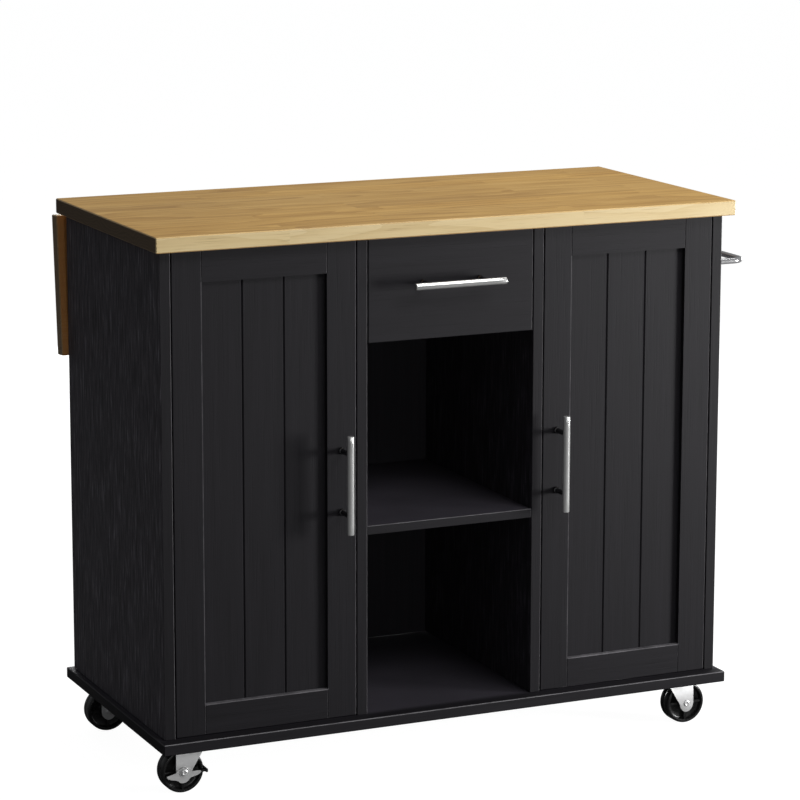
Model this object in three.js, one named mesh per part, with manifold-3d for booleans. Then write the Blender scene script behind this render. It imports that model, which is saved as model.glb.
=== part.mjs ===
// Kitchen island cart: two-door cabinet with a drawer and an open bay, oak worktop,
// drop leaf on folding stays, towel rail, four swivel casters (two with brakes).
// Millimetres, +Z up, floor at z = 0, front towards -Y, +X to the right.
import * as THREE from 'three';
import { ConvexGeometry } from 'three/addons/geometries/ConvexGeometry.js';
import { mergeVertices } from 'three/addons/utils/BufferGeometryUtils.js';
import Module from 'manifold-3d';

const wasm = await Module();
wasm.setup();

// ---------------------------------------------------------------- dimensions
const GAP = 0.3;              // running or resting gap between separate pieces
const SHIFT_X = -31.0;        // puts the middle of the overall box on x = 0
const SHIFT_Y = -4.51;        // puts the middle of the overall box on y = 0

// worktop and base board
const TOP_W = 1030, TOP_D = 486, TOP_T = 25, HEIGHT = 914;
const BASE_W = 1024, BASE_Y0 = -244, BASE_Y1 = 240, BASE_Z0 = 81, BASE_T = 18;

// cabinet carcass
const BOARD = 18;
const CAB_HALF = 502;         // outer face of the side panels
const CAB_Y0 = -221;          // front edges of the panels
const CAB_Y1 = 228;           // rear edges of the side panels
const BAY_HALF = 149;         // half width of the middle bay
const BACK_Y = 196, BACK_T = 6;
const MID_SHELF_Z = 401, MID_SHELF_T = 15;
const SIDE_SHELF_Z = 480, SIDE_SHELF_T = 15, SIDE_SHELF_Y0 = -168;

// doors
const DOOR_W = 313, DOOR_T = 18, DOOR_GAP = 2;
const RAIL = 50;              // width of the stiles and rails
const PANEL_IN = 9;           // set-back of the boarded panel
const PANEL_T = 5.8;
const HINGE_Z = [205, 782];
const CUP_R = 17.5, CUP_DEEP = 12;

// drawer
const DRAWER_Z0 = 717.5, DRAWER_Z1 = 885.5, DRAWER_HALF = 147;
const BOX_Z0 = 736, BOX_Z1 = 850, BOX_OUT = 136, BOX_T = 12, BOX_Y1 = 165;
const RUNNER_Z = 792, RUNNER_H = 45, RUNNER_T = 1.2;

// bar handles
const BAR_R = 6, BAR_L = 162, POST_R = 4.2, POST_PITCH = 101.6, BAR_OUT = 36;
const DOOR_HANDLE_Z = 495, DRAWER_HANDLE_Z = 810;

// drop leaf
const LEAF_L = 238, LEAF_T = 25, LEAF_HALF = 513;
const AXIS_Y = TOP_D / 2 + 1, AXIS_Z = HEIGHT - TOP_T - 3.3;
const LEAF_REST = 94.5;       // degrees from level down to the hanging rest
const LEAF_HINGE_X = 330;
const STAY_P = [215, 735];    // stay pivot on the side panel (y, z)
const STAY_KNEE = [215, 638]; // knee when the leaf hangs (y, z)
const STAY_Q = [130, -4.7];   // stay pivot on the leaf, leaf level, from the hinge axis

// towel rail
const ROD_R = 5, ROD_OUT = 70, ROD_BEND = 20, ROD_Z = 800, ROD_Y0 = -176, ROD_Y1 = 183;

// casters
const SWIVEL_X = 439, SWIVEL_Y = [-183, 179], TRAIL = 24;
const WHEEL_R = 36, WHEEL_W = 28;

// ---------------------------------------------------------------- materials
const M = (color, roughness, metalness) => new THREE.MeshStandardMaterial({ color, roughness, metalness });
const oak = () => M(0xc9995a, 0.45, 0);
const black = () => M(0x242327, 0.55, 0);
const blackIn = () => M(0x1c1b1e, 0.6, 0);
const birch = () => M(0xd8c39c, 0.6, 0);
const zinc = () => M(0xc8cacc, 0.35, 1);
const bright = () => M(0xd9dadb, 0.22, 1);
const plastic = () => M(0x121214, 0.3, 0);

// ---------------------------------------------------------------- helpers
const group = new THREE.Group();
group.name = 'kitchen_island_cart';

function clean(g) {
  const c = g.clone();
  for (const k of Object.keys(c.attributes)) if (k !== 'position') c.deleteAttribute(k);
  return mergeVertices(c, 1e-4);
}
function solid(g) {
  const c = clean(g);
  return new wasm.Manifold(new wasm.Mesh({
    numProp: 3,
    vertProperties: new Float32Array(c.attributes.position.array),
    triVerts: new Uint32Array(c.index.array),
  }));
}
function back(m) {
  const mesh = m.getMesh();
  const g = new THREE.BufferGeometry();
  const pos = new Float32Array(mesh.numVert * 3);
  for (let i = 0; i < mesh.numVert; i++)
    for (let k = 0; k < 3; k++) pos[i * 3 + k] = mesh.vertProperties[i * mesh.numProp + k];
  g.setAttribute('position', new THREE.BufferAttribute(pos, 3));
  g.setIndex(new THREE.BufferAttribute(new Uint32Array(mesh.triVerts), 1));
  return g;
}
const add = (...gs) => back(gs.map(solid).reduce((a, b) => a.add(b)));
const cut = (a, ...gs) => back(gs.map(solid).reduce((x, b) => x.subtract(b), solid(a)));

function box(x0, x1, y0, y1, z0, z1) {
  const g = new THREE.BoxGeometry(Math.abs(x1 - x0), Math.abs(y1 - y0), Math.abs(z1 - z0));
  g.translate((x0 + x1) / 2, (y0 + y1) / 2, (z0 + z1) / 2);
  return g;
}
// box with every edge eased by c
function eased(x0, x1, y0, y1, z0, z1, c) {
  if (x1 < x0) [x0, x1] = [x1, x0];
  const pts = [];
  for (const sx of [0, 1]) for (const sy of [0, 1]) for (const sz of [0, 1]) {
    const X = sx ? x1 : x0, Y = sy ? y1 : y0, Z = sz ? z1 : z0;
    const ix = sx ? -c : c, iy = sy ? -c : c, iz = sz ? -c : c;
    pts.push(new THREE.Vector3(X, Y + iy, Z + iz), new THREE.Vector3(X + ix, Y, Z + iz), new THREE.Vector3(X + ix, Y + iy, Z));
  }
  return new ConvexGeometry(pts);
}
function rod(r, a, b, seg = 24) {
  const A = new THREE.Vector3(...a), B = new THREE.Vector3(...b);
  const g = new THREE.CylinderGeometry(r, r, A.distanceTo(B), seg);
  g.applyQuaternion(new THREE.Quaternion().setFromUnitVectors(new THREE.Vector3(0, 1, 0), B.clone().sub(A).normalize()));
  g.translate((A.x + B.x) / 2, (A.y + B.y) / 2, (A.z + B.z) / 2);
  return g;
}
// flat plate with an (x, z) outline, from y0 to y1
function plateXZ(points, y0, y1) {
  const s = new THREE.Shape(points.map(([x, z]) => new THREE.Vector2(x, z)));
  const g = new THREE.ExtrudeGeometry(s, { depth: y1 - y0, bevelEnabled: false, curveSegments: 16 });
  g.rotateX(Math.PI / 2);
  g.translate(0, y1, 0);
  return g;
}
// flat plate with a (y, z) outline, from x0 to x1
function plateYZ(points, x0, x1) {
  const s = new THREE.Shape(points.map(([y, z]) => new THREE.Vector2(y, z)));
  const g = new THREE.ExtrudeGeometry(s, { depth: x1 - x0, bevelEnabled: false, curveSegments: 16 });
  g.applyMatrix4(new THREE.Matrix4().set(0, 0, 1, x0, 1, 0, 0, 0, 0, 1, 0, 0, 0, 0, 0, 1));
  return g;
}
function lathe(profile, seg = 48) {
  return new THREE.LatheGeometry(profile.map(([r, h]) => new THREE.Vector2(r, h)), seg);
}
function mirrorX(g) {
  const c = clean(g);
  c.applyMatrix4(new THREE.Matrix4().makeScale(-1, 1, 1));
  const i = c.index.array;
  for (let k = 0; k < i.length; k += 3) [i[k], i[k + 1]] = [i[k + 1], i[k]];
  return c;
}
const sideOf = (g, s) => (s > 0 ? g : mirrorX(g));
function put(name, g, mat) {
  const c = clean(g);
  c.translate(SHIFT_X, SHIFT_Y, 0);
  const flat = c.toNonIndexed();
  flat.computeVertexNormals();
  const m = new THREE.Mesh(flat, mat);
  m.name = name;
  group.add(m);
}
const SIDES = [['left', -1], ['right', 1]];

// ---------------------------------------------------------------- boards
const UNDER = HEIGHT - TOP_T;          // underside of the worktop
const FLOOR = BASE_Z0 + BASE_T;        // upper face of the base board
put('tabletop', eased(-TOP_W / 2, TOP_W / 2, -TOP_D / 2, TOP_D / 2, UNDER, HEIGHT, 1.5), oak());
put('base_board', eased(-BASE_W / 2, BASE_W / 2, BASE_Y0, BASE_Y1, BASE_Z0, FLOOR, 1.2), black());
const Z0 = FLOOR + GAP, Z1 = UNDER - GAP;
for (const [n, s] of SIDES) {
  put(`${n}_side_panel`, eased(s * (CAB_HALF - BOARD), s * CAB_HALF, CAB_Y0, CAB_Y1, Z0, Z1, 0.8), black());
  put(`${n}_partition`, eased(s * BAY_HALF, s * (BAY_HALF + BOARD), CAB_Y0, BACK_Y - GAP, Z0, Z1, 0.8), black());
  put(`${n}_cabinet_shelf`, box(s * (BAY_HALF + BOARD + GAP), s * (CAB_HALF - BOARD - GAP), SIDE_SHELF_Y0, BACK_Y - GAP,
    SIDE_SHELF_Z, SIDE_SHELF_Z + SIDE_SHELF_T), blackIn());
}
put('back_panel', box(-(CAB_HALF - BOARD - GAP), CAB_HALF - BOARD - GAP, BACK_Y, BACK_Y + BACK_T, Z0, Z1), black());
put('middle_shelf', eased(-(BAY_HALF - GAP), BAY_HALF - GAP, CAB_Y0 + 0.5, BACK_Y - GAP, MID_SHELF_Z, MID_SHELF_Z + MID_SHELF_T, 0.8), black());

// ---------------------------------------------------------------- handles
// bar along z with two posts towards +y, centred on the origin, posts end at y = BAR_OUT - GAP
function handleBar() {
  const h = BAR_L / 2;
  const bar = lathe([[0, -h], [BAR_R - 0.8, -h], [BAR_R, -h + 0.8], [BAR_R, h - 0.8], [BAR_R - 0.8, h], [0, h]], 20);
  bar.rotateX(Math.PI / 2);
  const post = (z) => rod(POST_R, [0, 2, z], [0, BAR_OUT - GAP, z], 12);
  return add(bar, post(-POST_PITCH / 2), post(POST_PITCH / 2));
}

// ---------------------------------------------------------------- doors
const DOOR_X0 = BAY_HALF + BOARD + (CAB_HALF - BOARD - BAY_HALF - BOARD - DOOR_W) / 2; // inner edge
const DOOR_X1 = DOOR_X0 + DOOR_W;                                                       // hinged edge
const DZ0 = FLOOR + DOOR_GAP, DZ1 = UNDER - DOOR_GAP - 1;
const DY0 = CAB_Y0, DY1 = CAB_Y0 + DOOR_T;
const CUP_X = DOOR_X1 - 22.5;
function doorFrame() {
  let g = cut(
    eased(DOOR_X0, DOOR_X1, DY0, DY1, DZ0, DZ1, 0.8),
    box(DOOR_X0 + RAIL, DOOR_X1 - RAIL, DY0 - 5, DY1 + 5, DZ0 + RAIL, DZ1 - RAIL),
    box(DOOR_X0 + RAIL - 6, DOOR_X1 - RAIL + 6, DY0 + PANEL_IN - GAP, DY0 + PANEL_IN + PANEL_T + GAP, DZ0 + RAIL - 6, DZ1 - RAIL + 6),
    ...HINGE_Z.map((z) => rod(CUP_R + GAP, [CUP_X, DY1 - CUP_DEEP - GAP, z], [CUP_X, DY1 + 5, z], 20)),
  );
  // V joints between stiles and rails on the face
  const v = (x, za, zb) => rotPrism(x, za, zb);
  g = cut(g, v(DOOR_X0 + RAIL, DZ0 - 1, DZ0 + RAIL - 0.01), v(DOOR_X1 - RAIL, DZ0 - 1, DZ0 + RAIL - 0.01),
    v(DOOR_X0 + RAIL, DZ1 - RAIL + 0.01, DZ1 + 1), v(DOOR_X1 - RAIL, DZ1 - RAIL + 0.01, DZ1 + 1));
  return g;
}
function rotPrism(x, za, zb, w = 1.0, d = 0.9, y = DY0) {
  const s = new THREE.Shape([new THREE.Vector2(x - w, y - 0.4), new THREE.Vector2(x + w, y - 0.4), new THREE.Vector2(x, y + d)]);
  const g = new THREE.ExtrudeGeometry(s, { depth: zb - za, bevelEnabled: false });
  g.translate(0, 0, za);
  return g;
}
function doorPanel() {
  const px0 = DOOR_X0 + RAIL - 5.6, px1 = DOOR_X1 - RAIL + 5.6, pz0 = DZ0 + RAIL - 5.6, pz1 = DZ1 - RAIL + 5.6;
  const y0 = DY0 + PANEL_IN, w = (DOOR_W - 2 * RAIL) / 3;
  return cut(box(px0, px1, y0, y0 + PANEL_T, pz0, pz1),
    rotPrism(DOOR_X0 + RAIL + w, pz0 - 1, pz1 + 1, 2.6, 2.0, y0), rotPrism(DOOR_X0 + RAIL + 2 * w, pz0 - 1, pz1 + 1, 2.6, 2.0, y0));
}
function hingeCup(z) {
  const yb = DY1 + GAP;   // flange seat
  const g = lathe([[0, -CUP_DEEP], [CUP_R, -CUP_DEEP], [CUP_R, 0], [CUP_R + 2.5, 0], [CUP_R + 2.5, 1.2], [CUP_R - 1, 1.2], [CUP_R - 1, -CUP_DEEP + 1.2], [0, -CUP_DEEP + 1.2]], 20);
  const ears = box(-4.5, 4.5, 0, 1.2, -26, 26);
  const hole = rod(CUP_R - 1, [0, -5, 0], [0, 5, 0], 20);
  const c = add(g, cut(ears, hole));
  c.translate(CUP_X, yb, z);
  return c;
}
function hingeArm(z) {
  const xw = CAB_HALF - BOARD - GAP;  // face of the side panel
  const plate = box(xw - 2.2, xw, -186, -134, z - 22, z + 22);
  const pad = box(xw - 4.2, xw - 1, -182, -138, z - 9, z + 9);
  const arm = plateXZ([[xw - 3.5, z - 7], [xw - 3.5, z + 7], [xw - 13, z + 7], [xw - 15, z + 5], [xw - 15, z - 5], [xw - 13, z - 7]], -197, -140);
  return add(plate, pad, arm);
}
for (const [n, s] of SIDES) {
  put(`${n}_door_frame`, sideOf(doorFrame(), s), black());
  put(`${n}_door_panel`, sideOf(doorPanel(), s), black());
  const h = handleBar();
  h.translate(s * (DOOR_X0 + RAIL / 2), DY0 - BAR_OUT, DOOR_HANDLE_Z);
  put(`${n}_door_handle`, h, bright());
  HINGE_Z.forEach((z, i) => {
    const w = i ? 'upper' : 'lower';
    put(`${n}_hinge_cup_${w}`, sideOf(hingeCup(z), s), zinc());
    put(`${n}_hinge_arm_${w}`, sideOf(hingeArm(z), s), zinc());
  });
}

// ---------------------------------------------------------------- drawer
put('drawer_front', eased(-DRAWER_HALF, DRAWER_HALF, CAB_Y0, CAB_Y0 + BOARD, DRAWER_Z0, DRAWER_Z1, 0.8), black());
const BY0 = CAB_Y0 + BOARD + GAP;
put('drawer_back', box(-(BOX_OUT - BOX_T - GAP), BOX_OUT - BOX_T - GAP, BOX_Y1 - BOX_T, BOX_Y1, BOX_Z0, BOX_Z1), birch());
put('drawer_bottom', box(-(BOX_OUT - BOX_T - GAP), BOX_OUT - BOX_T - GAP, BY0, BOX_Y1 - BOX_T - GAP, BOX_Z0 + 4, BOX_Z0 + 10), birch());
{
  const h = handleBar();
  h.rotateY(Math.PI / 2);
  h.translate(0, CAB_Y0 - BAR_OUT, DRAWER_HANDLE_Z);
  put('drawer_handle', h, bright());
}
function channel(x0, x1, lip, h, y0, y1) {
  // C section: web between x0 and x1, lips out to x = lip
  const t = RUNNER_T, z = RUNNER_Z, a = Math.min(x0, lip), b = Math.max(x1, lip);
  return add(box(x0, x1, y0, y1, z - h / 2, z + h / 2), box(a, b, y0, y1, z - h / 2, z - h / 2 + t), box(a, b, y0, y1, z + h / 2 - t, z + h / 2));
}
for (const [n, s] of SIDES) {
  put(`drawer_side_${n}`, box(s * (BOX_OUT - BOX_T), s * BOX_OUT, BY0, BOX_Y1, BOX_Z0, BOX_Z1), birch());
  const out = channel(BAY_HALF - GAP - RUNNER_T, BAY_HALF - GAP, 140.2, RUNNER_H, -200, 162);
  const inn = channel(BOX_OUT + GAP, BOX_OUT + GAP + RUNNER_T, 144.5, 36, -200, 162);
  put(`drawer_runner_${n}`, sideOf(out, s), zinc());
  put(`drawer_slide_${n}`, sideOf(inn, s), zinc());
}

// ---------------------------------------------------------------- drop leaf and its hinges
const REST = THREE.MathUtils.degToRad(LEAF_REST);
// geometry made with the leaf level, turned down to its hanging rest
function hang(g) {
  const c = clean(g);
  c.translate(0, -AXIS_Y, -AXIS_Z);
  c.rotateX(-REST);
  c.translate(0, AXIS_Y, AXIS_Z);
  return c;
}
put('drop_leaf', hang(eased(-LEAF_HALF, LEAF_HALF, AXIS_Y + 1, AXIS_Y + 1 + LEAF_L, UNDER, UNDER + LEAF_T, 1.5)), oak());
const KN_R = 2.9;
for (const [n, s] of SIDES) {
  const x = s * LEAF_HINGE_X;
  const zt = UNDER - GAP;
  put(`leaf_hinge_fixed_${n}`, add(
    box(x - 32, x + 32, AXIS_Y - 29, AXIS_Y - 3.4, zt - 1.5, zt),
    box(x - 10, x + 10, AXIS_Y - 5, AXIS_Y, zt - 1.5, zt),
    rod(KN_R, [x - 10, AXIS_Y, AXIS_Z], [x + 10, AXIS_Y, AXIS_Z], 16)), zinc());
  const knuckle = (a, b) => [box(a, b, AXIS_Y, AXIS_Y + 5, zt - 1.5, zt), rod(KN_R, [a, AXIS_Y, AXIS_Z], [b, AXIS_Y, AXIS_Z], 16)];
  put(`leaf_hinge_moving_${n}`, hang(add(
    box(x - 32, x + 32, AXIS_Y + 3.4, AXIS_Y + 29, zt - 1.5, zt),
    ...knuckle(x - 32, x - 10 - GAP), ...knuckle(x + 10 + GAP, x + 32))), zinc());
}

// ---------------------------------------------------------------- folding stays
const QR = (() => {   // leaf pivot at rest
  const c = Math.cos(REST), sn = Math.sin(REST), [dy, dz] = STAY_Q;
  return [AXIS_Y + dy * c + dz * sn, AXIS_Z - dy * sn + dz * c];
})();
// flat bar with round ends from a to b in the (y, z) plane
function link(a, b, x0, x1, r = 7) {
  const d = Math.hypot(b[0] - a[0], b[1] - a[1]), t = Math.atan2(b[1] - a[1], b[0] - a[0]);
  const pts = [];
  for (let i = 0; i <= 6; i++) { const q = t - Math.PI / 2 + Math.PI * i / 6; pts.push([b[0] + r * Math.cos(q), b[1] + r * Math.sin(q)]); }
  for (let i = 0; i <= 6; i++) { const q = t + Math.PI / 2 + Math.PI * i / 6; pts.push([a[0] + r * Math.cos(q), a[1] + r * Math.sin(q)]); }
  return plateYZ(pts, x0, x1);
}
const IN = CAB_HALF - BOARD;    // inner face of the side panel
for (const [n, s] of SIDES) {
  const lower = add(link(STAY_P, STAY_KNEE, IN - 8, IN - 5),
    rod(6, [IN - 5.5, ...STAY_P], [IN - GAP, ...STAY_P], 14),
    rod(4.5, [IN - 5.5, ...STAY_KNEE], [IN - 3.6, ...STAY_KNEE], 12));
  put(`stay_lower_${n}`, sideOf(lower, s), zinc());
  const upper = cut(link(QR, STAY_KNEE, IN - 11.3, IN - 8.3), rod(3.4, [IN - 20, ...QR], [IN, ...QR], 16));
  put(`stay_upper_${n}`, sideOf(upper, s), zinc());
  const zt = UNDER - GAP, qy = AXIS_Y + STAY_Q[0], qz = AXIS_Z + STAY_Q[1];
  const ear = plateYZ([[qy - 9, zt], [qy + 9, zt], [qy + 6.5, qz], [qy + 4, qz - 5.2], [qy, qz - 6.5], [qy - 4, qz - 5.2], [qy - 6.5, qz]], IN - 14.2, IN - 11.8);
  const bracket = add(box(IN - 34, IN - 11.8, qy - 16, qy + 16, zt - 1.6, zt), ear, rod(3, [IN - 13, qy, qz], [IN - 8.4, qy, qz], 12));
  put(`stay_bracket_${n}`, hang(sideOf(bracket, s)), zinc());
}

// ---------------------------------------------------------------- towel rail
class RailPath extends THREE.Curve {
  constructor() {
    super();
    const arm = ROD_OUT - GAP - 1 - ROD_BEND, arc = Math.PI * ROD_BEND / 2, bar = ROD_Y1 - ROD_Y0 - 2 * ROD_BEND;
    this.arm = arm; this.arc = arc; this.bar = bar;
    this.at = [0];                       // ring positions: six steps round each bend, none along the straights
    for (let i = 0; i <= 6; i++) this.at.push(arm + arc * i / 6);
    for (let i = 0; i <= 6; i++) this.at.push(arm + arc + bar + arc * i / 6);
    this.at.push(2 * arm + 2 * arc + bar);
    this.steps = this.at.length - 1;
  }
  getUtoTmapping(u) { return u; }
  getPoint(t, out = new THREE.Vector3()) {
    const x1 = CAB_HALF + ROD_OUT, r = ROD_BEND, { arm, arc, bar, at, steps } = this;
    const i = Math.min(steps - 1, Math.floor(t * steps)), f = t * steps - i;
    let d = at[i] + (at[i + 1] - at[i]) * f;
    if (d <= arm) return out.set(x1 - r - arm + d, ROD_Y0, ROD_Z);
    d -= arm;
    if (d <= arc) { const a = d / r; return out.set(x1 - r + r * Math.sin(a), ROD_Y0 + r - r * Math.cos(a), ROD_Z); }
    d -= arc;
    if (d <= bar) return out.set(x1, ROD_Y0 + r + d, ROD_Z);
    d -= bar;
    if (d <= arc) { const a = d / r; return out.set(x1 - r + r * Math.cos(a), ROD_Y1 - r + r * Math.sin(a), ROD_Z); }
    d -= arc;
    return out.set(x1 - r - d, ROD_Y1, ROD_Z);
  }
}
{
  const circle = new THREE.Shape();
  circle.absarc(0, 0, ROD_R, 0, Math.PI * 2, false);
  const path = new RailPath();
  const tube = new THREE.ExtrudeGeometry(circle, { steps: path.steps, curveSegments: 8, bevelEnabled: false, extrudePath: path });
  const flange = (y) => {
    const g = lathe([[0, 0], [11.5, 0], [11.5, 2.5], [9, 4.5], [0, 4.5]], 20);
    g.rotateZ(-Math.PI / 2);
    g.translate(CAB_HALF + GAP, y, ROD_Z);
    return g;
  };
  put('towel_rail', add(tube, flange(ROD_Y0), flange(ROD_Y1)), bright());
}

// ---------------------------------------------------------------- casters
// made with the axle on the origin, swivel axis at x = -TRAIL, z measured from the floor
const CROWN = [73.2, 75.4];
function casterPlate() {
  const holes = [-25, 25].flatMap((x) => [-25, 25].map((y) => rod(3, [x, y, 70], [x, y, 90], 8)));
  const plate = cut(eased(-32, 32, -32, 32, 78.6, BASE_Z0 - GAP, 0.5), ...holes);
  const stem = lathe([[0, 70.7], [7, 70.7], [7, 72.6], [4.2, 72.9], [4.2, 75.8], [21, 75.8], [21, 79.2], [0, 79.2]], 20);
  stem.rotateX(Math.PI / 2);
  return add(plate, stem);
}
function casterFork(braked) {
  const out = 17.4, inn = 15.2, z = WHEEL_R;
  const top = CROWN[1] - z;
  const pts = [[13, top], [-37.5, top], [-12.8, 0]];
  for (let i = 1; i < 12; i++) { const a = Math.PI + Math.PI * i / 12; pts.push([13 * Math.cos(a), 15.6 * Math.sin(a)]); }
  pts.push([13, 0]);
  let g = plateXZ(pts.map(([a, b]) => [a, b + z]), -out, out);
  const disc = lathe([[0, CROWN[0]], [20.5, CROWN[0]], [20.5, CROWN[1]], [0, CROWN[1]]], 24);
  disc.rotateX(Math.PI / 2);
  disc.translate(-TRAIL, 0, 0);
  g = cut(g, box(-60, 40, -inn, inn, 0, CROWN[0]));
  const end = braked ? 22.2 : 19.2, head = braked ? 20.4 : 17.2;
  g = add(g, disc, rod(4, [0, -end + 0.5, z], [0, end - 0.5, z], 16), rod(6, [0, -end, z], [0, -head, z], 16), rod(6, [0, head, z], [0, end, z], 16));
  return cut(g, rod(4.6, [-TRAIL, 0, 70], [-TRAIL, 0, 80], 20));
}
function casterWheel() {
  const h = WHEEL_W / 2, R = WHEEL_R;
  const prof = [[4.3, -h - 0.6], [12.5, -h - 0.6], [13, -6], [29.5, -6], [30.5, -h], [33.5, -h], [R, -h + 4],
    [R, h - 4], [33.5, h], [30.5, h], [29.5, 6], [13, 6], [12.5, h + 0.6], [4.3, h + 0.6], [4.3, -h - 0.6]];
  const g = lathe(prof, 24);
  const ribs = [];
  for (const a of [0, 1]) for (const y of [-1, 1]) {
    const r = cut(box(-30, 30, y * 5, y * 12, -1.8, 1.8), rod(8, [0, -20, 0], [0, 20, 0], 8));
    r.rotateY(a * Math.PI / 2);
    ribs.push(r);
  }
  const w = back(ribs.map(solid).reduce((x, b) => x.add(b), solid(g)));
  w.translate(0, 0, R);
  return w;
}
function brakeLever() {
  // two winged side plates joined by a cross bar just clear of the tread, swivel-axis side
  const wing = [[-14, 0], [-12, 3], [-6, 6.5], [0, 7.8], [6, 6.5], [12, 3], [14, 0], [25.6, -3], [29.7, -3.9],
    [23.7, -9.5], [16, -11.3], [11, -12.5], [5.5, -17.3], [1.7, -17.8], [-5, -15.9], [-8.8, -12], [-16.5, -7.4], [-26, -7],
    [-37.4, -6], [-41.2, -5], [-41.2, 0.5], [-37.4, 1], [-27.8, 0.4], [-18.4, 0.6]];
  const z = WHEEL_R;
  const g = plateXZ(wing.map(([x, y]) => [x, y + z]), -20, 20);
  return cut(g, box(-37.5, 60, -17.9, 17.9, -10, 80), rod(4.6, [0, -40, z], [0, 40, z], 16));
}
const CASTERS = [
  ['front_left', -1, 0, true], ['front_right', 1, 0, false],
  ['rear_left', -1, 1, false], ['rear_right', 1, 1, true],
];
for (const [n, s, row, braked] of CASTERS) {
  const sx = s * SWIVEL_X, sy = SWIVEL_Y[row];
  const plate = casterPlate();
  plate.translate(sx, sy, 0);
  put(`caster_plate_${n}`, plate, zinc());
  const place = (g) => { const c = sideOf(g, s); c.translate(sx + s * TRAIL, sy, 0); return c; };
  put(`caster_fork_${n}`, place(casterFork(braked)), zinc());
  put(`caster_wheel_${n}`, place(casterWheel()), plastic());
  if (braked) put(`brake_lever_${n}`, place(brakeLever()), zinc());
}

export default group;
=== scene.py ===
# Kitchen island cart: the finished look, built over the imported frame. Metres, +Z up, front towards -Y.
import math
import bpy
import bmesh
from mathutils import Vector, Matrix


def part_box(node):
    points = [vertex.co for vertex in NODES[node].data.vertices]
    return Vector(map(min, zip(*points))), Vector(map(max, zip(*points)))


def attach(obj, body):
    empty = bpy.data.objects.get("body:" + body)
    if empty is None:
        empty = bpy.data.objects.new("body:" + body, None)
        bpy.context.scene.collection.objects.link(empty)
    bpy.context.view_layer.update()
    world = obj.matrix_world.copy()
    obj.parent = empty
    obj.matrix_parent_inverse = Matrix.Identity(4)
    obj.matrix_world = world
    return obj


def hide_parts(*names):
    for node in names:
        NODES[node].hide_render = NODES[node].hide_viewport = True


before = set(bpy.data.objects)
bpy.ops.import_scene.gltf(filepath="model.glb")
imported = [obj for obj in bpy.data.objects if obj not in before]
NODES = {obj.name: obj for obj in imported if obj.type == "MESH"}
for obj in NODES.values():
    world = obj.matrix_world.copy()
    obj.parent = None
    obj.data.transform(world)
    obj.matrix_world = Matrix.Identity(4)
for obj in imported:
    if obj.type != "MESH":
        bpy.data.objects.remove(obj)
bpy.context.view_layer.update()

MM = 0.001


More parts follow.
